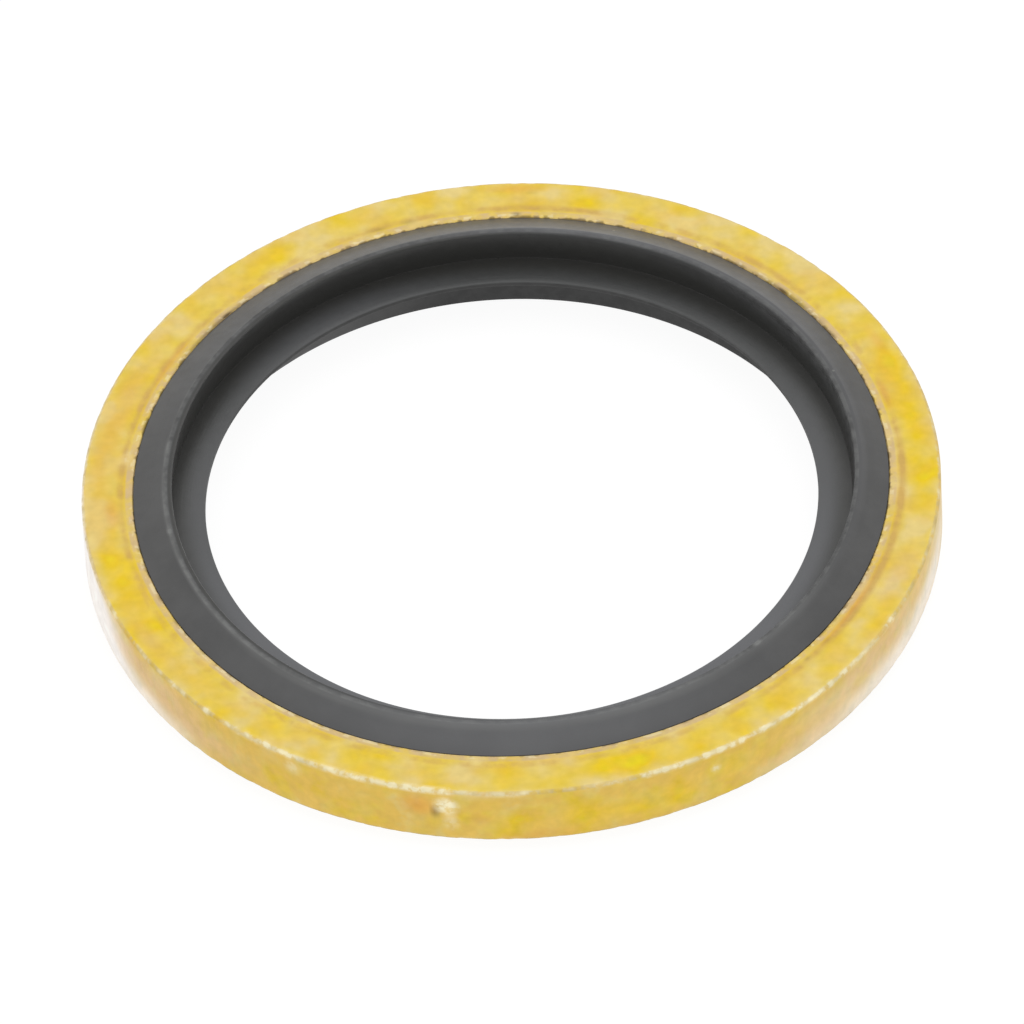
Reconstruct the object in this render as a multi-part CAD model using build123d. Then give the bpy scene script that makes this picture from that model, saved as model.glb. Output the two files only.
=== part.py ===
from build123d import *
from math import cos, radians, sin
import os

# A self-centring bonded sealing washer: a flat steel ring with a rubber seal moulded into its bore.
# Millimetres. +Z is the washer's axis, and z = 0 is the crest of the lower lip, on which it rests.
# Each section is drawn flat, with x as the radius and y as the height, and turned about the axis.

# Driving sizes across the washer. Each width is measured along the radius.
throat_diameter = 34.00  # clear hole through the body of the seal, above and below the web
rubber_width = 1.81  # from the throat out to the bond with the metal
metal_width = 2.59  # from the bond out to the rim
metal_thickness = 3.38

# Steel ring
rim_edge_bevel = 0.15
bore_edge_bevel = 0.08  # the rubber starts at the foot of this bevel
groove_distance = 0.60  # from the bond out to the middle of the witness groove that the mould leaves
groove_width = 0.40
groove_depth = 0.03

# Sealing lips, the same above and below
lip_height = 0.67  # crest above the face of the metal
lip_bevel = 0.12  # breaks the crest's inner edge, above the straight throat
lip_land_width = 0.25  # flat land on the crest

# Self-centring web, which grips the crests of the thread
web_reach = 1.73  # from the throat in to the tip
web_rise = 0.47  # middle of the web above the middle of the metal
web_thickness = 0.30
web_root_radius = 0.10  # where the throat turns towards the web
web_fade_radius = 0.15  # where the root runs out into the web

# Places that both pieces share
throat_radius = throat_diameter / 2
bond_radius = throat_radius + rubber_width
rim_radius = bond_radius + metal_width
half_thickness = metal_thickness / 2
middle_z = lip_height + half_thickness
web_z = middle_z + web_rise

upper = 1
lower = -1


def turned(section):
    """The solid that a flat section makes when it is turned about the axis."""
    return revolve(Plane.XZ * section, axis=Axis.Z)


def face_z(side):
    """Height of the metal's upper or lower face."""
    return middle_z + side * half_thickness


def crest_z(side):
    """Height of the upper or lower lip's crest."""
    return face_z(side) + side * lip_height


def bevelled(section, corners, length):
    """The section with a 45 degree bevel at each of these corners."""
    vertices = [section.vertices().sort_by_distance(corner)[0] for corner in corners]
    return chamfer(vertices, length=length)


def witness_groove(side):
    """V that is cut from one face of the metal."""
    middle = bond_radius + groove_distance
    start = (middle - groove_width / 2, face_z(side))
    bottom = (middle, face_z(side) - side * groove_depth)
    end = (middle + groove_width / 2, face_z(side))
    return make_face(Polyline(start, bottom, end, close=True))


def metal_section():
    """Bar with bevelled edges and a witness groove in each face."""
    rim_corners = [(rim_radius, face_z(lower)), (rim_radius, face_z(upper))]
    bore_corners = [(bond_radius, face_z(upper)), (bond_radius, face_z(lower))]
    section = make_face(Polyline(*rim_corners, *bore_corners, close=True))
    section = bevelled(section, rim_corners, rim_edge_bevel)
    section = bevelled(section, bore_corners, bore_edge_bevel)
    return section - witness_groove(upper) - witness_groove(lower)


def lip_line(side):
    """From the bond, over the crest of a lip and round its inner edge to the throat."""
    crest_radius = throat_radius + lip_bevel
    return Polyline(
        (bond_radius, face_z(side) - side * bore_edge_bevel),
        (crest_radius + lip_land_width, crest_z(side)),
        (crest_radius, crest_z(side)),
        (throat_radius, crest_z(side) - side * lip_bevel),
    )


def web_line(side):
    """Down the throat, round the root in two curves and along the web to its tip."""
    bend = 45  # degrees in each curve, so that the two turn from the throat to the web
    along = sin(radians(bend))
    across = 1 - cos(radians(bend))
    run = across * web_root_radius + along * web_fade_radius
    rise = along * web_root_radius + across * web_fade_radius
    surface_z = web_z + side * web_thickness / 2
    throat_z = crest_z(side) - side * lip_bevel
    depth = side * (throat_z - surface_z)
    fit = min(1, 0.9 * web_reach / run, 0.9 * depth / rise)  # both curves shrink in a small web
    start = (throat_radius, surface_z + side * rise * fit)
    throat = Line((throat_radius, throat_z), start)
    root = JernArc(start, (0, -side), web_root_radius * fit, -side * bend)
    fade = JernArc(root @ 1, root % 1, web_fade_radius * fit, -side * bend)
    web = Line(fade @ 1, (throat_radius - web_reach, surface_z))
    return throat + root + fade + web


def seal_section():
    """Two lips on one body, with the web reaching in between them."""
    top = lip_line(upper) + web_line(upper)
    bottom = lip_line(lower) + web_line(lower)
    tip_radius = throat_radius - web_reach
    tip = Line((tip_radius, web_z + web_thickness / 2), (tip_radius, web_z - web_thickness / 2))
    bond = Line((bond_radius, face_z(upper) - bore_edge_bevel), (bond_radius, face_z(lower) + bore_edge_bevel))
    return make_face((top + bottom + tip + bond).edges())


pieces = {
    "metal_ring": turned(metal_section()),
    "rubber_seal": turned(seal_section()),
}

os.makedirs("parts", exist_ok=True)
for name, solid in pieces.items():
    export_step(solid, f"parts/{name}.step")
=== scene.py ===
import bpy
import numpy as np
from math import cos, pi, radians, sin
from mathutils import Matrix, Vector


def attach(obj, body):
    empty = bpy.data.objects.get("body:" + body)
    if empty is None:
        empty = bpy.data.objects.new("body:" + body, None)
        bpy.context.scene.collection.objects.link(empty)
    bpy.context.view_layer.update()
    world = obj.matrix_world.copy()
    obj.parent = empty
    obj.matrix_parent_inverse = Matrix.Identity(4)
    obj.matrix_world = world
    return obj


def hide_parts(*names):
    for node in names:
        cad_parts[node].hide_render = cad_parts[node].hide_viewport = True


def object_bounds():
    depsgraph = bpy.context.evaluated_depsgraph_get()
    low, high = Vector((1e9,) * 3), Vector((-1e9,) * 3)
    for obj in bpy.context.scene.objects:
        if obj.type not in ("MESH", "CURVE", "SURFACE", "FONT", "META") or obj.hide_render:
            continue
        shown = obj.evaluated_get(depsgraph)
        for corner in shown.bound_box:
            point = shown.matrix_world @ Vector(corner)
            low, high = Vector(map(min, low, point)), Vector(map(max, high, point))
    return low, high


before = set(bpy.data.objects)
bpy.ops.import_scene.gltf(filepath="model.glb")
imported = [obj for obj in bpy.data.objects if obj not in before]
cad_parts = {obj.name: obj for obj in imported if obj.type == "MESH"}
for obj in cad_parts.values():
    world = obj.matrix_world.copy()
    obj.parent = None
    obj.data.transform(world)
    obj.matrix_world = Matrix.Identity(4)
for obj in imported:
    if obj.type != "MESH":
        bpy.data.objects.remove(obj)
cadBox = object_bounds()

mm = 0.001  # sizes in the dictionaries are millimetres
rimRadius = round(cadBox[1][0] / mm, 2)
fullHeight = round(cadBox[1][2] / mm, 2)  # over both lips
middleHeight = fullHeight / 2
bondRadius = 18.81  # where the rubber meets the steel


def tone(red, green, blue):  # a screen colour, 0 to 255, as the linear colour that a socket takes
    shares = [value / 255 for value in (red, green, blue)]
    linear = [v / 12.92 if v <= 0.04045 else ((v + 0.055) / 1.055) ** 2.4 for v in shares]
    return (*linear, 1.0)


def addNode(tree, kind, inputs=None, **properties):  # an input is a value, or the output that feeds it
    node = tree.nodes.new(kind)
    for name, value in properties.items():
        setattr(node, name, value)
    for name, value in (inputs or {}).items():
        if isinstance(value, bpy.types.NodeSocket):
            tree.links.new(value, node.inputs[name])
        else:
            node.inputs[name].default_value = value
    return node


def calc(tree, operation, *values):
    return addNode(tree, "ShaderNodeMath", dict(enumerate(values)), operation=operation).outputs[0]


def vectorCalc(tree, operation, *values):
    outputs = addNode(tree, "ShaderNodeVectorMath", dict(enumerate(values)), operation=operation).outputs
    return outputs["Value"] if operation in ("LENGTH", "DISTANCE") else outputs["Vector"]


def product(tree, *values):
    result = values[0]
    for value in values[1:]:
        result = calc(tree, "MULTIPLY", result, value)
    return result


def fade(tree, value, start, end, low=0.0, high=1.0):  # smooth step from low at start to high at end
    inputs = {"Value": value, "From Min": start, "From Max": end, "To Min": low, "To Max": high}
    return addNode(tree, "ShaderNodeMapRange", inputs, interpolation_type="SMOOTHSTEP").outputs["Result"]


def newMaterial(name):
    material = bpy.data.materials.new(name)
    material.use_nodes = True
    material.node_tree.nodes.clear()
    return material, material.node_tree


def addObject(name, data):
    thing = bpy.data.objects.new(name, data)
    bpy.context.scene.collection.objects.link(thing)
    return thing


cameraView = {  # millimetres and degrees
    "aim": (0.0, 0.0, 4.05),  # middle of the ring's upper face
    "distance": 896.6,
    "elevation": 45.37,  # above the floor
    "roll": -3.04,
    "slide": (0.055, -1.473),  # sideways and upwards in the view, to frame the washer
    "clip": (50.0, 10000.0),
    "lens": 633.5,
    "sensor": 36.0,
}


def makeCamera(view):
    tilt, roll = radians(view["elevation"]), radians(view["roll"])
    back = Vector((0.0, -cos(tilt), sin(tilt)))
    right, up = Vector((1.0, 0.0, 0.0)), Vector((0.0, sin(tilt), cos(tilt)))
    right, up = right * cos(roll) + up * sin(roll), up * cos(roll) - right * sin(roll)
    place = Vector(view["aim"]) + back * view["distance"] + right * view["slide"][0] + up * view["slide"][1]
    data = bpy.data.cameras.new("viewCamera")
    data.lens, data.sensor_width = view["lens"], view["sensor"]
    data.clip_start, data.clip_end = (distance * mm for distance in view["clip"])
    camera = addObject("viewCamera", data)
    camera.matrix_world = Matrix.Translation(place * mm) @ Matrix((right, up, back)).transposed().to_4x4()
    bpy.context.scene.camera = camera


makeCamera(cameraView)
print("camera placed")

studio = {  # a white room with one large lamp overhead
    "worldLight": 0.76,  # what the white room gives to matt surfaces
    "worldSeen": 1.0,  # white, as the camera and the reflections see it
    "floorWidth": 1600.0,
    "floorDrop": 0.02,  # keeps the floor clear of the lower lip
    "floorColour": 0.86,
    "floorGlow": 0.935,  # with the lit share below, the open floor comes out white
    "floorLit": 0.10,
    "lampDirection": (0.08, 0.0, 1.0),  # from the washer
    "lampDistance": 600.0,
    "lampWidth": 620.0,
    "lampBrightness": 1.20,  # against white
}


def seenDirectly(tree):  # 1 for camera, mirror and glass rays, 0 for the light on matt surfaces
    path = addNode(tree, "ShaderNodeLightPath")
    seen = calc(tree, "MAXIMUM", path.outputs["Is Camera Ray"], path.outputs["Is Glossy Ray"])
    return calc(tree, "MAXIMUM", seen, path.outputs["Is Transmission Ray"])


def makeWorld(settings):
    world = bpy.data.worlds.new("whiteRoom")
    world.use_nodes = True
    tree = world.node_tree
    tree.nodes.clear()
    strength = fade(tree, seenDirectly(tree), 0.0, 1.0, settings["worldLight"], settings["worldSeen"])
    light = addNode(tree, "ShaderNodeBackground", {"Color": (1, 1, 1, 1), "Strength": strength})
    addNode(tree, "ShaderNodeOutputWorld", {"Surface": light.outputs[0]})
    bpy.context.scene.world = world


def matt(tree, shade):
    return addNode(tree, "ShaderNodeBsdfDiffuse", {"Color": (shade, shade, shade, 1)}).outputs[0]


def makeFloor(settings):
    half = settings["floorWidth"] / 2 * mm
    height = -settings["floorDrop"] * mm
    mesh = bpy.data.meshes.new("studioFloor")
    corners = [(-half, -half, height), (half, -half, height), (half, half, height), (-half, half, height)]
    mesh.from_pydata(corners, [], [(0, 1, 2, 3)])
    material, tree = newMaterial("paleFloor")
    glow = addNode(tree, "ShaderNodeEmission", {"Color": (1, 1, 1, 1), "Strength": settings["floorGlow"]})
    seen = addNode(tree, "ShaderNodeAddShader", {0: matt(tree, settings["floorLit"]), 1: glow.outputs[0]})
    inputs = {0: seenDirectly(tree), 1: matt(tree, settings["floorColour"]), 2: seen.outputs[0]}
    both = addNode(tree, "ShaderNodeMixShader", inputs)
    addNode(tree, "ShaderNodeOutputMaterial", {"Surface": both.outputs[0]})
    mesh.materials.append(material)
    addObject("studioFloor", mesh)


def makeLamp(settings):
    width = settings["lampWidth"] * mm
    data = bpy.data.lights.new("topLamp", "AREA")
    data.shape, data.size = "DISK", width
    area = pi * width ** 2 / 4
    data.energy = settings["lampBrightness"] * pi * area  # watts for that brightness
    lamp = addObject("topLamp", data)
    lamp.visible_glossy = False  # gloss shows the white room, so no colour clips
    away = Vector(settings["lampDirection"]).normalized()
    lamp.location = away * settings["lampDistance"] * mm
    lamp.rotation_euler = away.to_track_quat("Z", "Y").to_euler()


makeWorld(studio)
makeFloor(studio)
makeLamp(studio)
bpy.context.scene.view_settings.view_transform = "Standard"
print("studio lit")

turning = {  # what every turned ring has alike
    "waveOnset": 1.2,  # inwards from the still radius, to the full waviness
    "waveDetail": 2.0,
    "wearDetail": 3.0,
    "wearNoise": (0.42, 0.68),  # where the wear sets in, and where it is full
    "mergeDistance": 0.001,
    "sharpAngle": 40,  # degrees
}


def roundedSection(tree, given):  # the open section with rounded corners, its straight runs divided, closed
    line = addNode(tree, "GeometryNodeMeshToCurve", {"Mesh": given["Section"]}).outputs[0]
    corner = storedField(tree, "cornerRadius", "FLOAT")
    inputs = {"Curve": line, "Radius": corner, "Count": given["Arc Steps"]}
    rounded = addNode(tree, "GeometryNodeFilletCurve", inputs, mode="POLY")
    here = addNode(tree, "GeometryNodeInputPosition").outputs[0]
    index = addNode(tree, "GeometryNodeInputIndex").outputs[0]
    inputs = {"Value": here, "Index": calc(tree, "ADD", index, 1.0)}
    following = addNode(tree, "GeometryNodeFieldAtIndex", inputs, data_type="FLOAT_VECTOR").outputs[0]
    steps = calc(tree, "DIVIDE", vectorCalc(tree, "DISTANCE", here, following), given["Longest Step"])
    cuts = calc(tree, "FLOOR", steps)
    divided = addNode(tree, "GeometryNodeSubdivideCurve", {"Curve": rounded.outputs[0], "Cuts": cuts})
    closed = addNode(tree, "GeometryNodeSetSplineCyclic", {"Geometry": divided.outputs[0], "Cyclic": True})
    return storeField(tree, closed.outputs[0], "sectionPlace", here, "FLOAT_VECTOR")


def sweptSection(tree, given, section):  # one turn of the section, with each point's angle kept
    inputs = {"Resolution": given["Segments"], "Radius": 1.0}
    circle = addNode(tree, "GeometryNodeCurvePrimitiveCircle", inputs)
    index = addNode(tree, "GeometryNodeInputIndex").outputs[0]
    angle = product(tree, calc(tree, "DIVIDE", index, given["Segments"]), 2 * pi)
    turn = storeField(tree, circle.outputs[0], "turnAngle", angle, "FLOAT")
    return addNode(tree, "GeometryNodeCurveToMesh", {"Curve": turn, "Profile Curve": section}).outputs[0]


def waviness(tree, given, around, radius):  # slow waves of what hangs free inside the still radius
    wave = seededNoise(tree, around, given["Seed"], given["Wave Length"], turning["waveDetail"])
    free = fade(tree, calc(tree, "SUBTRACT", given["Still Radius"], radius), 0.0, turning["waveOnset"] * mm)
    return product(tree, calc(tree, "SUBTRACT", wave, 0.5), given["Waviness"], free)


def edgeWear(tree, given, around, radius, offMiddle):  # share of the wear, which keeps to the outer edges
    offHeight = calc(tree, "SUBTRACT", calc(tree, "ABSOLUTE", offMiddle), given["Edge Height"])
    offRadius = calc(tree, "SUBTRACT", radius, given["Edge Radius"])
    offEdge = addNode(tree, "ShaderNodeCombineXYZ", {"X": offRadius, "Y": offHeight}).outputs[0]
    near = fade(tree, vectorCalc(tree, "LENGTH", offEdge), given["Edge Reach"], 0.0)
    fleck = seededNoise(tree, around, given["Seed"], given["Wear Length"], turning["wearDetail"])
    return product(tree, fade(tree, fleck, *turning["wearNoise"]), near)


def finishedRing(tree, given, ring):  # smooth all over, but for the corners that have no rounding
    inputs = {"Geometry": ring, "Distance": turning["mergeDistance"] * mm}
    joined = addNode(tree, "GeometryNodeMergeByDistance", inputs).outputs[0]
    smooth = addNode(tree, "GeometryNodeSetShadeSmooth", {"Geometry": joined}).outputs[0]
    fold = addNode(tree, "GeometryNodeInputMeshEdgeAngle").outputs["Unsigned Angle"]
    sharp = calc(tree, "GREATER_THAN", fold, radians(turning["sharpAngle"]))
    inputs = {"Geometry": smooth, "Selection": sharp, "Shade Smooth": False}
    folded = addNode(tree, "GeometryNodeSetShadeSmooth", inputs, domain="EDGE").outputs[0]
    real = addNode(tree, "GeometryNodeRealizeInstances", {"Geometry": folded}).outputs[0]
    inputs = {"Geometry": real, "Material": given["Material"]}
    return addNode(tree, "GeometryNodeSetMaterial", inputs).outputs[0]


def turnedRingTree(name):  # turns an open section about Z, rounds its corners and wears its outer edges
    tree = bpy.data.node_groups.new(name, "GeometryNodeTree")
    sockets = (
        ("Section", "NodeSocketGeometry"),
        ("Segments", "NodeSocketInt"),
        ("Arc Steps", "NodeSocketInt"),
        ("Longest Step", "NodeSocketFloat"),
        ("Middle Height", "NodeSocketFloat"),
        ("Waviness", "NodeSocketFloat"),
        ("Wave Length", "NodeSocketFloat"),
        ("Still Radius", "NodeSocketFloat"),
        ("Edge Radius", "NodeSocketFloat"),
        ("Edge Height", "NodeSocketFloat"),
        ("Edge Reach", "NodeSocketFloat"),
        ("Edge Wear", "NodeSocketFloat"),
        ("Wear Length", "NodeSocketFloat"),
        ("Seed", "NodeSocketFloat"),
        ("Material", "NodeSocketMaterial"),
    )
    for label, kind in sockets:
        tree.interface.new_socket(label, in_out="INPUT", socket_type=kind)
    tree.interface.new_socket("Ring", in_out="OUTPUT", socket_type="NodeSocketGeometry")
    given = addNode(tree, "NodeGroupInput").outputs

    swept = sweptSection(tree, given, roundedSection(tree, given))
    place = addNode(tree, "ShaderNodeSeparateXYZ", {0: storedField(tree, "sectionPlace", "FLOAT_VECTOR")})
    radius, height = place.outputs["X"], place.outputs["Z"]
    angle = storedField(tree, "turnAngle", "FLOAT")
    around = turnedPoint(tree, radius, angle, height)

    # the wear eats into the outer edges from flat and side alike
    offMiddle = calc(tree, "SUBTRACT", height, given["Middle Height"])
    worn = edgeWear(tree, given, around, radius, offMiddle)
    eaten = product(tree, worn, given["Edge Wear"])
    lowered = calc(tree, "SUBTRACT", height, product(tree, eaten, calc(tree, "SIGN", offMiddle)))
    swayed = calc(tree, "ADD", lowered, waviness(tree, given, around, radius))
    spot = turnedPoint(tree, calc(tree, "SUBTRACT", radius, eaten), angle, swayed)
    shaped = addNode(tree, "GeometryNodeSetPosition", {"Geometry": swept, "Position": spot}).outputs[0]
    marked = storeField(tree, shaped, "rubbedAndPaintedHighlight", worn, "FLOAT")
    addNode(tree, "NodeGroupOutput", {"Ring": finishedRing(tree, given, marked)})
    return tree


def storedField(tree, name, kind):
    field = addNode(tree, "GeometryNodeInputNamedAttribute", {"Name": name}, data_type=kind)
    return field.outputs["Attribute"]


def storeField(tree, geometry, name, value, kind):
    inputs = {"Geometry": geometry, "Name": name, "Value": value}
    return addNode(tree, "GeometryNodeStoreNamedAttribute", inputs, data_type=kind, domain="POINT").outputs[0]


def turnedPoint(tree, radius, angle, height):
    x = product(tree, radius, calc(tree, "COSINE", angle))
    y = product(tree, radius, calc(tree, "SINE", angle))
    return addNode(tree, "ShaderNodeCombineXYZ", {"X": x, "Y": y, "Z": height}).outputs[0]


def seededNoise(tree, vector, seed, length, detail):
    inputs = {"Vector": vector, "W": seed, "Scale": calc(tree, "DIVIDE", 1.0, length), "Detail": detail}
    return addNode(tree, "ShaderNodeTexNoise", inputs, noise_dimensions="4D").outputs["Fac"]


def turnRing(name, section, sizes, material):  # section: radius, height and corner radius of each point
    line = bpy.data.meshes.new(name + "Section")
    steps = [(i, i + 1) for i in range(len(section) - 1)]
    line.from_pydata([(radius * mm, 0.0, height * mm) for radius, height, corner in section], steps, [])
    corners = line.attributes.new("cornerRadius", "FLOAT", "POINT")
    corners.data.foreach_set("value", [corner * mm for radius, height, corner in section])
    sketch = addObject(name + "Section", line)
    modifier = sketch.modifiers.new("turned", "NODES")
    modifier.node_group = ringTree
    values = {**sizes, "Material": material}
    for socket in ringTree.interface.items_tree:
        if socket.in_out == "INPUT" and socket.name in values:
            modifier[socket.identifier] = values[socket.name]
    evaluated = sketch.evaluated_get(bpy.context.evaluated_depsgraph_get())
    mesh = bpy.data.meshes.new_from_object(evaluated)
    mesh.name = name
    sketch.modifiers.remove(modifier)
    bpy.data.objects.remove(sketch)
    for leftOver in ("cornerRadius", "sectionPlace", "turnAngle"):
        if leftOver in mesh.attributes:
            mesh.attributes.remove(mesh.attributes[leftOver])
    if signedVolume(mesh) < 0:
        mesh.flip_normals()
    return addObject(name, mesh)


def readPoints(mesh, field="co"):  # one row per point, of its place or its normal
    values = np.empty(len(mesh.vertices) * 3)
    mesh.vertices.foreach_get(field, values)
    return values.reshape(-1, 3)


def writePoints(mesh, points):
    mesh.vertices.foreach_set("co", points.ravel())
    mesh.update()


def signedVolume(mesh):
    mesh.calc_loop_triangles()
    points = readPoints(mesh)
    index = np.empty(len(mesh.loop_triangles) * 3, int)
    mesh.loop_triangles.foreach_get("vertices", index)
    a, b, c = (points[index.reshape(-1, 3)[:, k]] for k in range(3))
    return float(np.einsum("ij,ij->i", a, np.cross(b, c)).sum() / 6)


def markWeight(points, angle, radius, height, length, width):  # 1 at the mark's middle, 0 from its edge out
    offTurn = np.arctan2(points[:, 1], points[:, 0]) - radians(angle)
    offTurn = (offTurn + pi) % (2 * pi) - pi
    sideways = offTurn * radius / (length / 2)
    offRadius = np.hypot(points[:, 0], points[:, 1]) / mm - radius
    across = np.hypot(offRadius, points[:, 2] / mm - height) / (width / 2)
    return np.clip(1 - sideways ** 2 - across ** 2, 0, 1) ** 2


def paintMarks(ring, marks):  # each kind of mark becomes an attribute that the material reads
    mesh = ring.data
    points = readPoints(mesh)
    for kind, spots in marks.items():
        weight = np.zeros(len(points))
        if kind in mesh.attributes:
            mesh.attributes[kind].data.foreach_get("value", weight)
        else:
            mesh.attributes.new(kind, "FLOAT", "POINT")
        for *place, strength in spots:
            weight += markWeight(points, *place) * strength
        mesh.attributes[kind].data.foreach_set("value", weight)


def pressDents(ring, dents):
    start, normals = readPoints(ring.data), readPoints(ring.data, "normal")
    points = start.copy()
    for *place, depth in dents:
        points -= normals * markWeight(start, *place)[:, None] * depth * mm
    writePoints(ring.data, points)


ringTree = turnedRingTree("turnedRing")
print("ring tree ready")

steelRing = {
    "rim": rimRadius,  # radii
    "bond": bondRadius,
    "groove": 19.41,
    "middle": middleHeight,
    "thickness": 3.38,
    "bevel": 0.08,  # at the rubber
    "crownRound": 0.06,
    "rimRound": 0.20,
    "grooveHalf": 0.22,
    "grooveDepth": 0.010,
    "grooveRound": 0.9,
}
steelRing["top"] = steelRing["middle"] + steelRing["thickness"] / 2

passivatedZinc = {
    "passivate": (  # from thin to thick
        (0.30, tone(222, 199, 126)),
        (0.44, tone(222, 196, 100)),
        (0.58, tone(223, 195, 78)),
        (0.80, tone(227, 195, 32)),
        (1.0, tone(224, 206, 16)),
    ),
    "amber": tone(220, 176, 72),
    "side": tone(214, 178, 84),
    "sidePaintedReflection": tone(243, 237, 231),
    "crown": tone(207, 180, 130),
    "witness": tone(200, 163, 90),
    "stainAndPaintedShadow": tone(84, 68, 44),
    "orange": tone(218, 148, 62),
    "rosy": tone(212, 178, 140),
    "zinc": tone(236, 226, 188),
    "paleCreaseAndHighlight": tone(208, 188, 132),
    "metallic": 0.75,
    "roughness": (0.38, 0.62, 0.34, 0.44),  # two values of the grain, and the roughness at each
    "thickness": {  # what each adds to the passivate's thickness
        "clouds": 0.80,
        "mottle": 1.00,
        "richYellow": 0.28,
        "paleTintAndPaintedReflection": -0.20,
        "everywhere": -0.40,
    },
    "noises": {  # scale per millimetre, detail, roughness
        "clouds": (0.38, 2.0, 0.5),
        "mottle": (0.65, 2.0, 0.4),
        "drift": (0.5, 2.0, 0.5),
        "side": (0.8, 3.0, 0.6),
        "crown": (1.3, 3.0, 0.55),
        "witness": (1.0, 3.0, 0.55),
        "creep": (1.5, 2.0, 0.55),
        "paintedHighlightFlecks": (1.7, 2.0, 0.55),
        "fleck": (2.6, 2.0, 0.55),
        "shade": (1.9, 1.0, 0.55),
        "grain": (9.0, 3.0, 0.6),
    },
    "shares": {  # two values of a noise, and how much of the layer shows at each
        "drift": (0.42, 0.66, 0.0, 0.30),
        "amber": (0.30, 0.60, 0.5, 1.0),
        "side": (0.36, 0.60, 0.15, 0.9),
        "crown": (0.34, 0.62, 0.25, 1.0),
        "witness": (0.38, 0.66, 0.0, 0.5),
        "creep": (0.44, 0.64, 0.01, 0.24),  # millimetres
        "rosy": (0.35, 0.60, 0.5, 1.0),
        "bare": (0.34, 0.58, 0.35, 1.0),
        "paintedHighlightFlecks": (0.50, 0.64, 0.0, 0.40),
        "paleCreaseAndHighlight": (0.36, 0.60, 0.1, 0.8),
    },
    "sideUnderYellow": 0.35,  # share of the side's colour that is left under a rich yellow mark
    "stainStrength": 0.8,
    "mostCover": 0.9,  # of a stain or of the dull band
    "wallEdge": (0.16, 0.02),  # inside the rim, where the layer sets in and where it is full
    "creaseEdge": (0.20, 0.10),
    "creaseHeight": (1.46, 1.58),  # up or down from the middle
    "creaseRoughness": 0.24,
    "crownBand": (bondRadius + 0.17, 0.17, 0.14),  # radius, half width, softness
    "witnessBand": (steelRing["groove"] + 0.05, 0.05, 0.26),
    "highlightFleckBand": (bondRadius + 0.17, 0.05, 0.10),
    "flatShade": 0.985,
    "sidePaintedShade": 0.285,
    "cloudShade": 0.22,
    "wallCloudShade": 0.50,
    "turnedLines": (4.0, 16.0),  # how fast the lines change around the ring, and per millimetre across it
    "shearedLines": (190.0, 0.7),
    "roughMix": (0.6, 0.4),  # mottle, grain
    "relief": (0.35, 0.45, 1.2),  # lines, grain, mottle
    "bump": (0.55, 0.035),  # strength, depth
}


def mixColour(tree, amount, first, second):
    node = addNode(tree, "ShaderNodeMix", data_type="RGBA")
    for index, value in ((0, amount), (6, first), (7, second)):  # the sockets of a colour mix
        if isinstance(value, bpy.types.NodeSocket):
            tree.links.new(value, node.inputs[index])
        else:
            node.inputs[index].default_value = value
    return node.outputs[2]


def ringCoordinates(tree):  # in millimetres: place, radius, unit vector from the axis, height
    local = addNode(tree, "ShaderNodeTexCoord").outputs["Object"]
    inputs = {"Vector": local, "Scale": (1 / mm, 1 / mm, 1 / mm)}
    scaled = addNode(tree, "ShaderNodeMapping", inputs).outputs[0]
    parts = addNode(tree, "ShaderNodeSeparateXYZ", {0: scaled}).outputs
    flat = addNode(tree, "ShaderNodeCombineXYZ", {"X": parts["X"], "Y": parts["Y"]}).outputs[0]
    return scaled, vectorCalc(tree, "LENGTH", flat), vectorCalc(tree, "NORMALIZE", flat), parts["Z"]


def painted(tree, name):
    return addNode(tree, "ShaderNodeAttribute", attribute_name=name).outputs["Fac"]


def noise(tree, vector, scale, detail, roughness):
    inputs = {"Vector": vector, "Scale": scale, "Detail": detail, "Roughness": roughness}
    return addNode(tree, "ShaderNodeTexNoise", inputs).outputs["Fac"]


def allNoises(tree, place, noises):
    return {name: noise(tree, place, *values) for name, values in noises.items()}


lineNoise = (1.0, 2.0, 0.55)  # scale, detail, roughness


def ringLines(tree, facing, around, lift):  # fine noise that changes slowly along facing and fast along lift
    spun = vectorCalc(tree, "MULTIPLY", facing, (around, around, around))
    raised = addNode(tree, "ShaderNodeCombineXYZ", {"Z": lift}).outputs[0]
    return noise(tree, vectorCalc(tree, "ADD", spun, raised), *lineNoise)


def band(tree, value, middle, halfWidth, softness):  # 1 inside the band, falling to 0 over the softness
    off = calc(tree, "ABSOLUTE", calc(tree, "SUBTRACT", value, middle))
    return fade(tree, off, halfWidth + softness, halfWidth)


def ramp(tree, value, stops):
    node = addNode(tree, "ShaderNodeValToRGB", {"Fac": value})
    elements = node.color_ramp.elements
    for index, (position, colour) in enumerate(stops):
        element = elements[index] if index < 2 else elements.new(position)
        element.position, element.color = position, colour
    return node.outputs["Color"]


def blend(tree, *terms):  # sum of value times factor
    total = 0.0
    for value, factor in terms:
        total = calc(tree, "MULTIPLY_ADD", value, factor, total)
    return total


def addSurface(tree, colour, rough, relief, bumpSize, **constants):
    strength, depth = bumpSize
    inputs = {"Height": relief, "Strength": strength, "Distance": depth * mm}
    bump = addNode(tree, "ShaderNodeBump", inputs).outputs[0]
    inputs = {"Base Color": colour, "Roughness": rough, "Normal": bump, **constants}
    surface = addNode(tree, "ShaderNodeBsdfPrincipled", inputs)
    addNode(tree, "ShaderNodeOutputMaterial", {"Surface": surface.outputs[0]})


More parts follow.
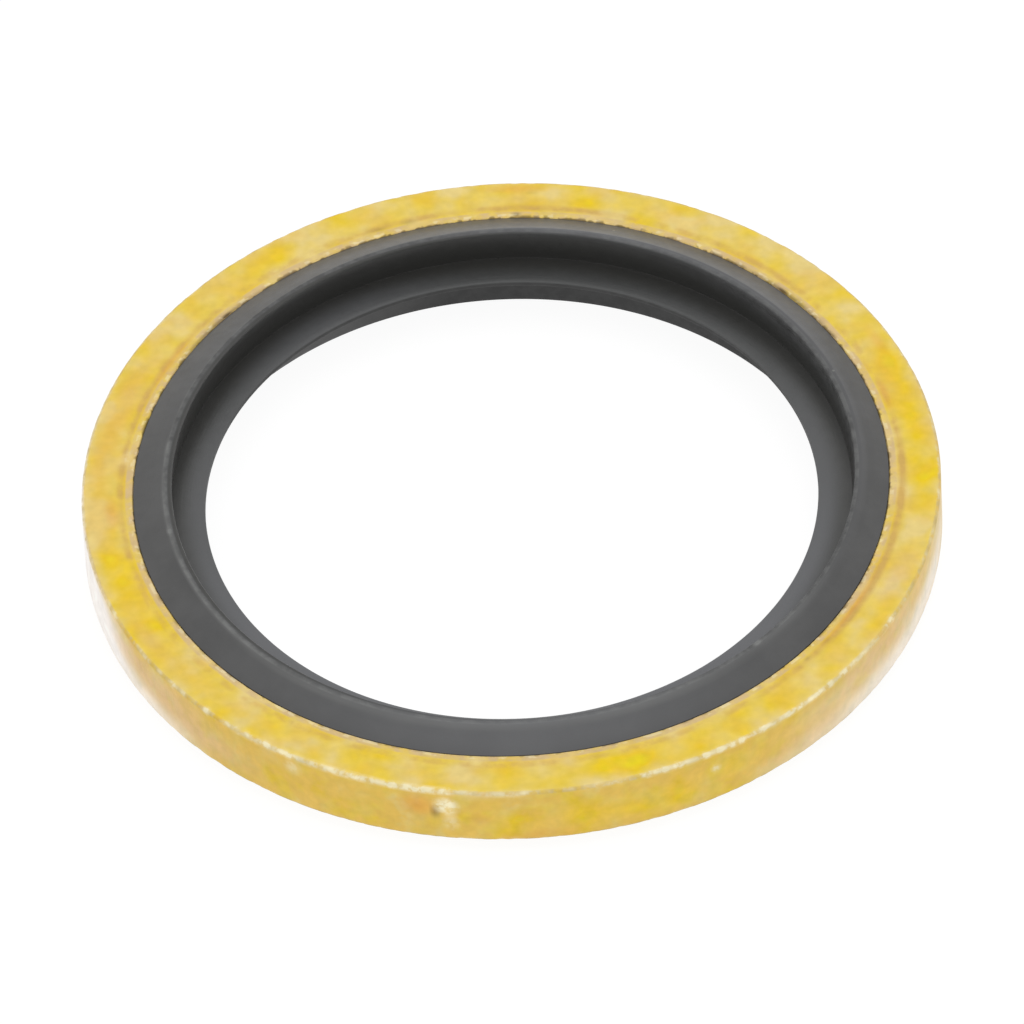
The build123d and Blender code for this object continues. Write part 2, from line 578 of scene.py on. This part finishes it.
def makeZinc(finish, ring):
    material, tree = newMaterial("plated_steel")
    place, radius, facing, height = ringCoordinates(tree)
    noises = allNoises(tree, place, finish["noises"])

    def share(layer, noiseName):
        return fade(tree, noises[noiseName], *finish["shares"][layer])

    # the passivate, thicker and thinner in clouds, in finer mottling and in the painted patches
    adds = finish["thickness"]
    thick = blend(tree, (noises["clouds"], adds["clouds"]), (noises["mottle"], adds["mottle"]),
                  (painted(tree, "richYellow"), adds["richYellow"]),
                  (painted(tree, "paleTintAndPaintedReflection"), adds["paleTintAndPaintedReflection"]))
    colour = ramp(tree, calc(tree, "ADD", thick, adds["everywhere"]), finish["passivate"])
    amber = product(tree, painted(tree, "amberPatch"), share("amber", "mottle"))
    colour = mixColour(tree, calc(tree, "MAXIMUM", amber, share("drift", "drift")), colour, finish["amber"])

    # the sheared side is darker and more amber, and in patches a pale pinkish white that is a painted
    # reflection
    wall = fade(tree, radius, *(ring["rim"] - inside for inside in finish["wallEdge"]))
    yellow = fade(tree, painted(tree, "richYellow"), 0.0, 1.0, 1.0, finish["sideUnderYellow"])
    colour = mixColour(tree, product(tree, wall, share("side", "side"), yellow), colour, finish["side"])
    colour = mixColour(tree, product(tree, wall, painted(tree, "paleTintAndPaintedReflection")), colour, finish["sidePaintedReflection"])

    # a rubbed crown by the rubber, and the dull band where the mould closed
    crown = product(tree, band(tree, radius, *finish["crownBand"]), share("crown", "crown"))
    colour = mixColour(tree, crown, colour, finish["crown"])
    witness = product(tree, band(tree, radius, *finish["witnessBand"]), share("witness", "witness"))
    witness = calc(tree, "ADD", witness, painted(tree, "witnessBand"))
    witness = calc(tree, "MINIMUM", witness, finish["mostCover"])
    colour = mixColour(tree, witness, colour, finish["witness"])

    # bonding agent that crept out from the rubber, small brown spots, a painted contact shadow along the
    # side's lower edge, and orange and rosy tints
    fromBond = calc(tree, "SUBTRACT", radius, ring["bond"])
    stainAndPaintedShadow = product(tree, fade(tree, fromBond, share("creep", "creep"), 0.0), finish["stainStrength"])
    stainAndPaintedShadow = calc(tree, "MAXIMUM", stainAndPaintedShadow, painted(tree, "brownSpotAndPaintedShadow"))
    colour = mixColour(tree, calc(tree, "MINIMUM", stainAndPaintedShadow, finish["mostCover"]), colour, finish["stainAndPaintedShadow"])
    colour = mixColour(tree, painted(tree, "orangeTint"), colour, finish["orange"])
    colour = mixColour(tree, product(tree, painted(tree, "rosyPatch"), share("rosy", "side")), colour,
                       finish["rosy"])

    # the crease at the rim is duller, and rubbed edges and dents show the zinc; the pale crease and the
    # bright flecks along the rim and by the rubber are partly worn zinc and partly a painted highlight
    offMiddle = calc(tree, "ABSOLUTE", calc(tree, "SUBTRACT", height, ring["middle"]))
    crease = product(tree, fade(tree, radius, *(ring["rim"] - inside for inside in finish["creaseEdge"])),
                     fade(tree, offMiddle, *finish["creaseHeight"]))
    colour = mixColour(tree, product(tree, crease, share("paleCreaseAndHighlight", "fleck")), colour, finish["paleCreaseAndHighlight"])
    bare = product(tree, painted(tree, "rubbedAndPaintedHighlight"), share("bare", "fleck"))
    paintedHighlightFlecks = product(tree, band(tree, radius, *finish["highlightFleckBand"]), share("paintedHighlightFlecks", "paintedHighlightFlecks"))
    bare = calc(tree, "MINIMUM", calc(tree, "MAXIMUM", bare, paintedHighlightFlecks), 1.0)
    colour = mixColour(tree, bare, colour, finish["zinc"])

    # lighter and darker clouds, stronger on the side
    shade = blend(tree, (noises["shade"], finish["cloudShade"]),
                  (product(tree, noises["side"], wall), finish["wallCloudShade"]))
    # painted shade: the side is made darker than the flats
    level = calc(tree, "SUBTRACT", finish["flatShade"], product(tree, wall, finish["sidePaintedShade"]))
    inputs = {"Color": colour, "Value": calc(tree, "ADD", shade, level)}
    colour = addNode(tree, "ShaderNodeHueSaturation", inputs).outputs["Color"]

    byMottle, byGrain = finish["roughMix"]
    rough = blend(tree, (noises["mottle"], byMottle), (noises["grain"], byGrain))
    rough = fade(tree, rough, *finish["roughness"])
    rough = calc(tree, "ADD", rough, product(tree, crease, finish["creaseRoughness"]))

    # faint turning marks on the flats and upright shearing marks on the side
    around, across = finish["turnedLines"]
    turned = ringLines(tree, facing, around, product(tree, radius, across))
    around, across = finish["shearedLines"]
    sheared = ringLines(tree, facing, around, product(tree, height, across))
    lines = calc(tree, "ADD", product(tree, turned, calc(tree, "SUBTRACT", 1.0, wall)),
                 product(tree, sheared, wall))
    relief = blend(tree, *zip((lines, noises["grain"], noises["mottle"]), finish["relief"]))
    addSurface(tree, colour, rough, relief, finish["bump"], Metallic=finish["metallic"])
    return material


ringBuild = {
    "Segments": 900,
    "Arc Steps": 5,
    "Longest Step": 0.16 * mm,
    "Middle Height": steelRing["middle"] * mm,
    "Waviness": 0.0,
    "Wave Length": 4.0 * mm,
    "Still Radius": steelRing["bond"] * mm,
    "Edge Radius": steelRing["rim"] * mm,
    "Edge Height": steelRing["thickness"] / 2 * mm,
    "Edge Reach": 0.26 * mm,
    "Edge Wear": 0.025 * mm,
    "Wear Length": 0.6 * mm,
    "Seed": 3.0,
}

creaseHighlightFlecks = (  # angles of bright flecks on the rim's edge, partly bare zinc and partly a painted highlight
    -143.6, -136.8, -131.3, -126.6, -108.2, -100.6, -73.8, -71.5, -69.5, -65.5, -63.3, -61.6, -60.1, -56.7,
    -52.4, -44.6, -30.4,
)
bondSpots = (  # angles of dark spots beside the rubber
    -170.0, -166.2, -159.0, -153.5, -145.4, -138.6, -126.0, -121.3, -112.5, -106.0, -34.5, 29.0, 41.5, 50.0,
    137.0,
)


def onTop(*marks):  # angle, radius, length, width and strength of marks on the upper face
    return tuple((angle, radius, steelRing["top"], *sizes) for angle, radius, *sizes in marks)


def onSide(*marks):  # angle, height, length, width and strength of marks on the side
    return tuple((angle, steelRing["rim"], height, *sizes) for angle, height, *sizes in marks)


ringMarks = {
    "richYellow": onTop(
        (-164, 20.2, 14.0, 2.0, 0.75),
        (-77, 20.3, 4.6, 2.0, 2.2),
        (-68, 19.8, 8.0, 1.6, 0.5),
        (-110, 19.8, 3.0, 1.0, 0.5),
        (-58, 20.3, 7.0, 1.8, 0.5),
        (-31, 20.8, 6.5, 1.3, 1.3),
        (-5, 20.5, 5.0, 1.8, 0.5),
        (2, 20.3, 5.5, 1.8, 0.3),
        (11, 20.6, 5.0, 1.8, 0.7),
        (14, 20.3, 7.5, 1.9, 1.2),
        (20, 20.5, 6.0, 1.6, 0.8),
        (74, 20.1, 4.5, 1.7, 0.9),
        (124.5, 20.3, 4.0, 2.0, 1.7),
        (178.5, 20.6, 2.0, 1.4, 0.6),
    ) + onSide(
        (-93, 1.9, 5.0, 3.2, 0.6),
        (-82, 2.2, 7.0, 3.4, 0.75),
        (-71, 2.0, 7.0, 3.2, 0.85),
        (-61, 2.6, 5.0, 2.4, 0.8),
    ),
    "amberPatch": onTop(
        (-33, 19.40, 10.0, 0.6, 0.7),
        (-144, 20.4, 9.0, 2.2, 0.3),
        (178, 20.8, 10.0, 1.6, 0.4),
        (163, 20.4, 12.0, 2.2, 0.75),
        (-176, 20.3, 8.0, 2.0, 0.5),
        (-157, 20.5, 7.0, 2.0, 0.4),
        (17, 20.1, 9.0, 2.0, 0.6),
        (84, 19.9, 6.0, 1.6, 0.35),
    ) + onSide(
        (-104, 2.8, 1.8, 2.0, 1.2),
        (-119, 2.4, 7.0, 3.0, 0.3),
    ),
    "orangeTint": onTop(
        (87, 20.9, 5.0, 0.9, 0.35),
        (14.5, 19.5, 3.5, 0.6, 0.35),
        (24.5, 20.6, 3.0, 0.9, 0.3),
        (-31, 19.30, 9.0, 0.4, 0.4),
        (150, 19.30, 6.0, 0.5, 0.3),
        (-178, 19.9, 3.0, 1.0, 0.35),
    ) + onSide(
        (-104.6, 2.9, 2.4, 2.0, 0.5),
        (-96.5, 2.2, 1.6, 1.2, 0.3),
        (-88, 1.0, 5.0, 1.2, 0.25),
    ),
    "rosyPatch": onTop(
        (-24, 20.5, 7.0, 2.0, 0.35),
        (-152, 20.6, 5.0, 1.4, 0.25),
        (156, 20.2, 7.0, 1.8, 0.3),
    ) + onSide(
        (-148, 2.7, 14.0, 3.4, 0.6),
        (-137, 1.8, 9.0, 2.4, 0.4),
        (-34, 3.0, 14.0, 3.2, 0.5),
        (-50, 1.6, 8.0, 2.0, 0.25),
    ),
    "paleTintAndPaintedReflection": onTop(
        (67.5, 20.2, 4.0, 1.8, 0.9),
        (139, 20.4, 4.5, 2.0, 1.0),
        (-97, 20.6, 7.0, 2.2, 0.7),
        (-120, 19.9, 4.0, 1.6, 0.4),
        (-16, 20.4, 5.0, 2.0, 0.9),
        (161, 20.9, 1.8, 0.8, 0.9),
        (42, 20.7, 14.0, 2.2, 0.6),
        (58, 20.0, 6.0, 1.8, 0.4),
        (98, 20.9, 8.0, 1.6, 0.6),
        (146, 20.9, 8.0, 1.6, 0.6),
    ) + onSide(
        # on the side these near-white patches are a painted reflection of the white floor and room
        (-22, 1.2, 18.0, 4.0, 0.7),
        (-42, 0.8, 16.0, 3.4, 0.5),
        (-42, 2.6, 12.0, 3.0, 0.2),
        (-10, 2.4, 12.0, 5.0, 0.3),
        (-152, 0.9, 14.0, 3.4, 0.8),
        (-165, 2.2, 12.0, 5.0, 0.6),
        (178, 2.4, 24.0, 7.0, 1.5),
    ),
    "witnessBand": onTop(
        (-22, 19.47, 26.0, 0.7, 0.8),
        (2, 19.50, 10.0, 0.6, 0.4),
        (50, 19.50, 12.0, 0.6, 0.3),
        (82, 19.50, 12.0, 0.6, 0.6),
        (104, 19.50, 10.0, 0.6, 0.4),
        (152, 19.42, 18.0, 0.6, 0.6),
        (-178, 19.44, 14.0, 0.6, 0.45),
    ),
    "brownSpotAndPaintedShadow": onTop(
        *((angle, 18.87, 0.9, 0.26, 0.55) for angle in bondSpots),
        (103.2, 19.36, 1.3, 0.5, 0.22),
        (108.0, 19.36, 1.3, 0.5, 0.24),
        (13.2, 19.50, 0.9, 0.4, 0.18),
        (85.0, 20.60, 0.9, 0.5, 0.16),
        (87, 19.0, 0.7, 0.5, 0.7),
        (-38.5, 19.36, 1.2, 0.4, 0.2),
        (-43.1, 19.37, 0.9, 0.35, 0.2),
        (-25.4, 18.88, 1.1, 0.3, 0.9),
        (-31.6, 18.88, 1.0, 0.3, 0.8),
        (-61.8, 18.86, 0.9, 0.25, 0.7),
        (-65.3, 18.86, 0.7, 0.25, 0.7),
        (40, 18.88, 9.0, 0.45, 0.6),
        (140, 18.88, 9.0, 0.45, 0.6),
    ) + onSide(
        (-102.3, 2.6, 0.8, 1.4, 0.6),
    ) + (  # on the edges: angle, radius, height, length, width, strength
        # painted contact shadow along the side's lower edge
        (-112, 21.36, 0.72, 22.0, 0.30, 0.35),
        (-72, 21.36, 0.72, 14.0, 0.26, 0.3),
    ),
    "rubbedAndPaintedHighlight": onTop(
        (170.4, 19.3, 1.5, 0.5, 0.5),
    ) + onSide(
        (-100.8, 3.0, 1.7, 1.6, 1.4),
        (-100.2, 1.9, 1.2, 1.6, 0.5),
        (-64.2, 2.85, 0.7, 0.7, 0.8),
        (-122.4, 3.3, 1.3, 1.3, 0.45),
    ) + (  # on the edges: angle, radius, height, length, width, strength
        # bright bands and flecks along the rim's upper edge: partly rubbed zinc, partly a painted highlight
        (-127, 21.37, 4.00, 8.0, 0.55, 0.6),
        (-114, 21.37, 4.00, 11.0, 0.60, 0.8),
        (-104, 21.37, 4.00, 4.5, 0.65, 1.0),
        (-94, 21.38, 3.95, 4.0, 0.50, 0.5),
        (-66, 21.37, 3.99, 14.0, 0.42, 0.8),
        (-48, 21.37, 3.98, 11.0, 0.44, 0.6),
        (-36, 21.38, 3.96, 8.0, 0.45, 0.4),
        *((angle, 21.37, 3.99, 0.65, 0.50, 1.0) for angle in creaseHighlightFlecks),
    ),
}

ringDents = (  # angle, radius, height, length, width, depth
    (-100.4, 21.40, 2.75, 1.5, 1.6, 0.06),
    (-99.7, 21.40, 1.85, 0.9, 1.0, 0.035),
    (-64.2, 21.40, 2.85, 0.8, 0.7, 0.03),
)


def steelSection(ring):
    top, half = ring["top"], ring["grooveHalf"]
    upper = [
        (ring["bond"], top - ring["bevel"], 0.0),
        (ring["bond"] + ring["bevel"], top, ring["crownRound"]),
        (ring["groove"] - half, top, ring["grooveRound"]),
        (ring["groove"], top - ring["grooveDepth"], ring["grooveRound"]),
        (ring["groove"] + half, top, ring["grooveRound"]),
        (ring["rim"], top, ring["rimRound"]),
    ]
    mirrorSum = 2 * ring["middle"]  # a point's height and its mirror's, added up
    return upper + [(radius, mirrorSum - height, corner) for radius, height, corner in reversed(upper)]


zinc = makeZinc(passivatedZinc, steelRing)
steel = turnRing("steelRing", steelSection(steelRing), ringBuild, zinc)
pressDents(steel, ringDents)
paintMarks(steel, ringMarks)
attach(steel, "root")
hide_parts("metal_ring")
print("steel ring turned:", len(steel.data.polygons), "faces")

rubberSeal = {
    "bond": bondRadius,  # radii
    "crest": 17.37,
    "throat": 17.00,
    "tip": 15.27,
    "height": fullHeight,
    "foot": 4.01,
    "crestCrown": 0.15,
    "throatRound": 0.08,
    "webMiddle": 2.83,
    "webThickness": 0.30,
    "coneBulge": 0.01,
    "bulgeRound": 4.0,
    "rootRound": 0.0,
    "tipRound": 0.06,
}
rubberSeal["webTop"] = rubberSeal["webMiddle"] + rubberSeal["webThickness"] / 2

mouldedRubber = {
    "black": tone(47, 47, 47),
    "bloom": tone(62, 62, 62),
    "sheltered": tone(46, 46, 44),
    "web": tone(58, 59, 59),
    "worn": tone(90, 91, 94),
    "paintedShadeUnder": tone(24, 24, 24),
    "scuffedAndPaintedHighlight": tone(108, 109, 108),
    "dust": tone(176, 178, 168),
    "noises": {  # scale per millimetre, detail, roughness
        "clouds": (0.35, 4.0, 0.6),
        "fleck": (1.7, 3.0, 0.55),
        "gloss": (2.0, 3.0, 0.55),
        "grain": (16.0, 3.0, 0.6),
    },
    "bloomShare": (0.35, 0.70, 0.1, 0.9),  # two values of a noise, and how much of the layer shows at each
    "scuffShare": (0.36, 0.66, 0.08, 0.42),
    "roughness": (0.35, 0.65, 0.28, 0.35),  # two values of the gloss noise, and the roughness at each
    "shelter": (0.10, 0.02),  # outwards from the throat, where the layer sets in and where it is full
    "webReach": (-0.3, -1.5),
    "webTopEdge": (-0.16, -0.04),  # upwards from the top of the web
    "underEdge": (-0.02, -0.10),
    "scuffBand": (rubberSeal["throat"] + 0.22, 0.08, 0.08),  # radius, half width, softness
    "dullBand": (rubberSeal["throat"] + 0.12, 0.15, 0.08),
    "dullHeight": (4.40, 4.55),
    "rootBand": (rubberSeal["throat"] - 0.01, 0.03, 0.02),
    "rootHeight": (rubberSeal["webTop"], 0.04, 0.03),
    "dullRoughness": 0.30,
    "speckScale": 0.85,
    "speckSize": (0.075, 0.045),
    "speckChoice": (0.90, 0.95),  # most specks are left out
    "speckStrength": 0.3,
    "lines": 3.0,  # how fast they change around the ring
    "lineSlant": (9.0, 6.0),  # and per millimetre of radius and of height
    "relief": (0.7, 0.5, 1.5),  # grain, lines, specks
    "bump": (0.5, 0.015),  # strength, depth
    "refraction": 1.65,
}


def makeRubber(finish, seal):
    material, tree = newMaterial("seal_rubber")
    place, radius, facing, height = ringCoordinates(tree)
    noises = allNoises(tree, place, finish["noises"])
    fromThroat = calc(tree, "SUBTRACT", radius, seal["throat"])
    fromWebTop = calc(tree, "SUBTRACT", height, seal["webTop"])

    # a grey bloom in clouds; the throat is a plain, darker black, and the top of the web lightens towards its
    # tip
    bloom = fade(tree, noises["clouds"], *finish["bloomShare"])
    colour = mixColour(tree, bloom, finish["black"], finish["bloom"])
    sheltered = fade(tree, fromThroat, *finish["shelter"])
    colour = mixColour(tree, sheltered, colour, finish["sheltered"])
    onWeb = product(tree, fade(tree, fromThroat, *finish["webReach"]),
                    fade(tree, fromWebTop, *finish["webTopEdge"]))
    colour = mixColour(tree, onWeb, colour, finish["web"])
    # the worn marks are a lighter grey, partly bloom and partly a painted sheen where the near side and the
    # crest catch the light
    colour = mixColour(tree, painted(tree, "worn"), colour, finish["worn"])
    # painted shade under the web, in the throat
    paintedShadeUnder = product(tree, sheltered, fade(tree, fromWebTop, *finish["underEdge"]))
    colour = mixColour(tree, paintedShadeUnder, colour, finish["paintedShadeUnder"])

    # the crest is lighter in a broken band and at the marks, partly scuffing where it touches and partly a
    # painted highlight
    crest = product(tree, band(tree, radius, *finish["scuffBand"]),
                    fade(tree, noises["fleck"], *finish["scuffShare"]))
    scuffedAndPaintedHighlight = calc(tree, "MINIMUM", calc(tree, "ADD", crest, painted(tree, "scuffAndPaintedHighlight")), 1.0)
    colour = mixColour(tree, scuffedAndPaintedHighlight, colour, finish["scuffedAndPaintedHighlight"])

    # a few specks of dust outside the throat
    specks = addNode(tree, "ShaderNodeTexVoronoi", {"Vector": place, "Scale": finish["speckScale"]}).outputs
    chosen = addNode(tree, "ShaderNodeSeparateColor", {0: specks["Color"]}).outputs[0]
    dust = product(tree, fade(tree, specks["Distance"], *finish["speckSize"]),
                   fade(tree, chosen, *finish["speckChoice"]), calc(tree, "SUBTRACT", 1.0, sheltered))
    colour = mixColour(tree, product(tree, dust, finish["speckStrength"]), colour, finish["dust"])

    # the throat's edge, the web's root and what is under the web are dull
    dull = product(tree, band(tree, radius, *finish["dullBand"]), fade(tree, height, *finish["dullHeight"]))
    root = product(tree, band(tree, radius, *finish["rootBand"]), band(tree, height, *finish["rootHeight"]))
    dull = calc(tree, "MAXIMUM", calc(tree, "MAXIMUM", dull, root), paintedShadeUnder)
    rough = fade(tree, noises["gloss"], *finish["roughness"])
    rough = calc(tree, "ADD", rough, product(tree, dull, finish["dullRoughness"]))

    byRadius, byHeight = finish["lineSlant"]
    lines = ringLines(tree, facing, finish["lines"], blend(tree, (radius, byRadius), (height, byHeight)))
    relief = blend(tree, *zip((noises["grain"], lines, dust), finish["relief"]))
    addSurface(tree, colour, rough, relief, finish["bump"], IOR=finish["refraction"])
    return material


rubberBuild = {
    "Segments": 800,
    "Arc Steps": 5,
    "Longest Step": 0.18 * mm,
    "Middle Height": middleHeight * mm,
    "Waviness": 0.05 * mm,
    "Wave Length": 5.0 * mm,
    "Still Radius": rubberSeal["throat"] * mm,
    "Edge Radius": (rubberSeal["throat"] + 0.05) * mm,
    "Edge Height": middleHeight * mm,
    "Edge Reach": 0.22 * mm,
    "Edge Wear": 0.015 * mm,
    "Wear Length": 0.9 * mm,
    "Seed": 8.0,
}

rubberMarks = {  # angle, radius, height, length, width, strength
    # lighter grey marks: partly bloom, partly a painted sheen on the near side and along the crest
    "worn": (
        (-138, 15.6, 2.98, 22.0, 2.6, 1.0),
        (-115, 16.2, 2.98, 22.0, 2.6, 0.8),
        (-65, 16.2, 2.98, 22.0, 2.6, 0.8),
        (-40, 15.6, 2.98, 24.0, 2.6, 0.9),
        (-90, 15.4, 2.98, 24.0, 1.6, 1.0),
        (0, 15.6, 2.98, 20.0, 2.2, 0.4),
        (180, 15.6, 2.98, 20.0, 2.2, 0.35),
        (-90, 18.1, 4.36, 32.0, 4.0, 0.28),
        (-90, 18.1, 4.36, 54.0, 4.0, 0.28),
        (35, 17.50, 4.66, 56.0, 0.8, 0.35),
        (92, 17.50, 4.66, 20.0, 0.8, 0.3),
        (72, 17.25, 4.66, 32.0, 0.7, 0.45),
        (-90, 17.25, 4.66, 28.0, 0.7, 0.4),
        (125, 15.8, 2.98, 18.0, 2.6, 0.35),
        (78, 17.8, 4.5, 24.0, 1.6, 0.5),
        (112, 17.8, 4.5, 16.0, 1.4, 0.4),
        (40, 17.8, 4.5, 14.0, 1.4, 0.3),
    ),
    # lighter crest marks: partly scuffing, partly a painted highlight
    "scuffAndPaintedHighlight": (
        (-176, 17.28, 4.72, 12.0, 0.36, 0.35),
        (170, 17.28, 4.72, 2.0, 0.36, 0.5),
        (-170.7, 17.28, 4.72, 0.6, 0.36, 0.9),
        (-160, 17.28, 4.72, 6.0, 0.36, 0.5),
        (-146, 17.28, 4.72, 9.0, 0.36, 0.5),
        (-130, 17.40, 4.68, 12.0, 0.70, 0.3),
        (-110, 17.42, 4.66, 16.0, 0.90, 0.3),
        (-62, 17.42, 4.66, 16.0, 0.90, 0.3),
        (-85, 17.42, 4.66, 20.0, 0.90, 0.25),
        (-47.3, 17.22, 4.70, 0.7, 0.50, 0.9),
        (-38, 17.40, 4.68, 10.0, 0.70, 0.25),
        (-90, 15.38, 2.96, 14.0, 0.70, 0.5),
    ),
}

lipShifts = (  # each half of the mould sat slightly off the middle
    {
        "shift": (0.13, 0.0),
        "held": (18.7, 2.98),  # radius and height up to which the rubber stays
        "free": (17.4, 4.3),  # and from which it moves fully
    },
    {
        "shift": (-0.20, 0.0),
        "held": (18.7, 2.66),
        "free": (17.4, 1.4),
    },
)


def shiftLip(ring, lip):
    points = readPoints(ring.data)
    radius = np.hypot(points[:, 0], points[:, 1]) / mm
    moved = np.ones(len(points))
    for value, held, free in zip((radius, points[:, 2] / mm), lip["held"], lip["free"]):
        moved *= np.clip((value - held) / (free - held), 0, 1)
    points[:, :2] += np.outer(moved, lip["shift"]) * mm
    writePoints(ring.data, points)


def rubberSection(seal):
    def half(sign, crest, foot):  # from the bond over the lip and into the throat, then out along the web
        web = seal["webMiddle"] + sign * seal["webThickness"] / 2
        middle = ((seal["bond"] + seal["crest"]) / 2, (foot + crest) / 2 + sign * seal["coneBulge"])
        return [
            (seal["bond"], foot, 0.0),
            (*middle, seal["bulgeRound"]),
            (seal["crest"], crest, seal["crestCrown"]),
            (seal["throat"], crest, seal["throatRound"]),
            (seal["throat"], web, seal["rootRound"]),
            (seal["tip"], web, seal["tipRound"]),
        ]

    upper = half(1, seal["height"], seal["foot"])
    lower = half(-1, 0.0, seal["height"] - seal["foot"])
    return upper + lower[::-1]


rubber = makeRubber(mouldedRubber, rubberSeal)
seal = turnRing("rubberSeal", rubberSection(rubberSeal), rubberBuild, rubber)
for lip in lipShifts:
    shiftLip(seal, lip)
paintMarks(seal, rubberMarks)
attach(seal, "root")
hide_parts("rubber_seal")
print("rubber seal moulded:", len(seal.data.polygons), "faces")
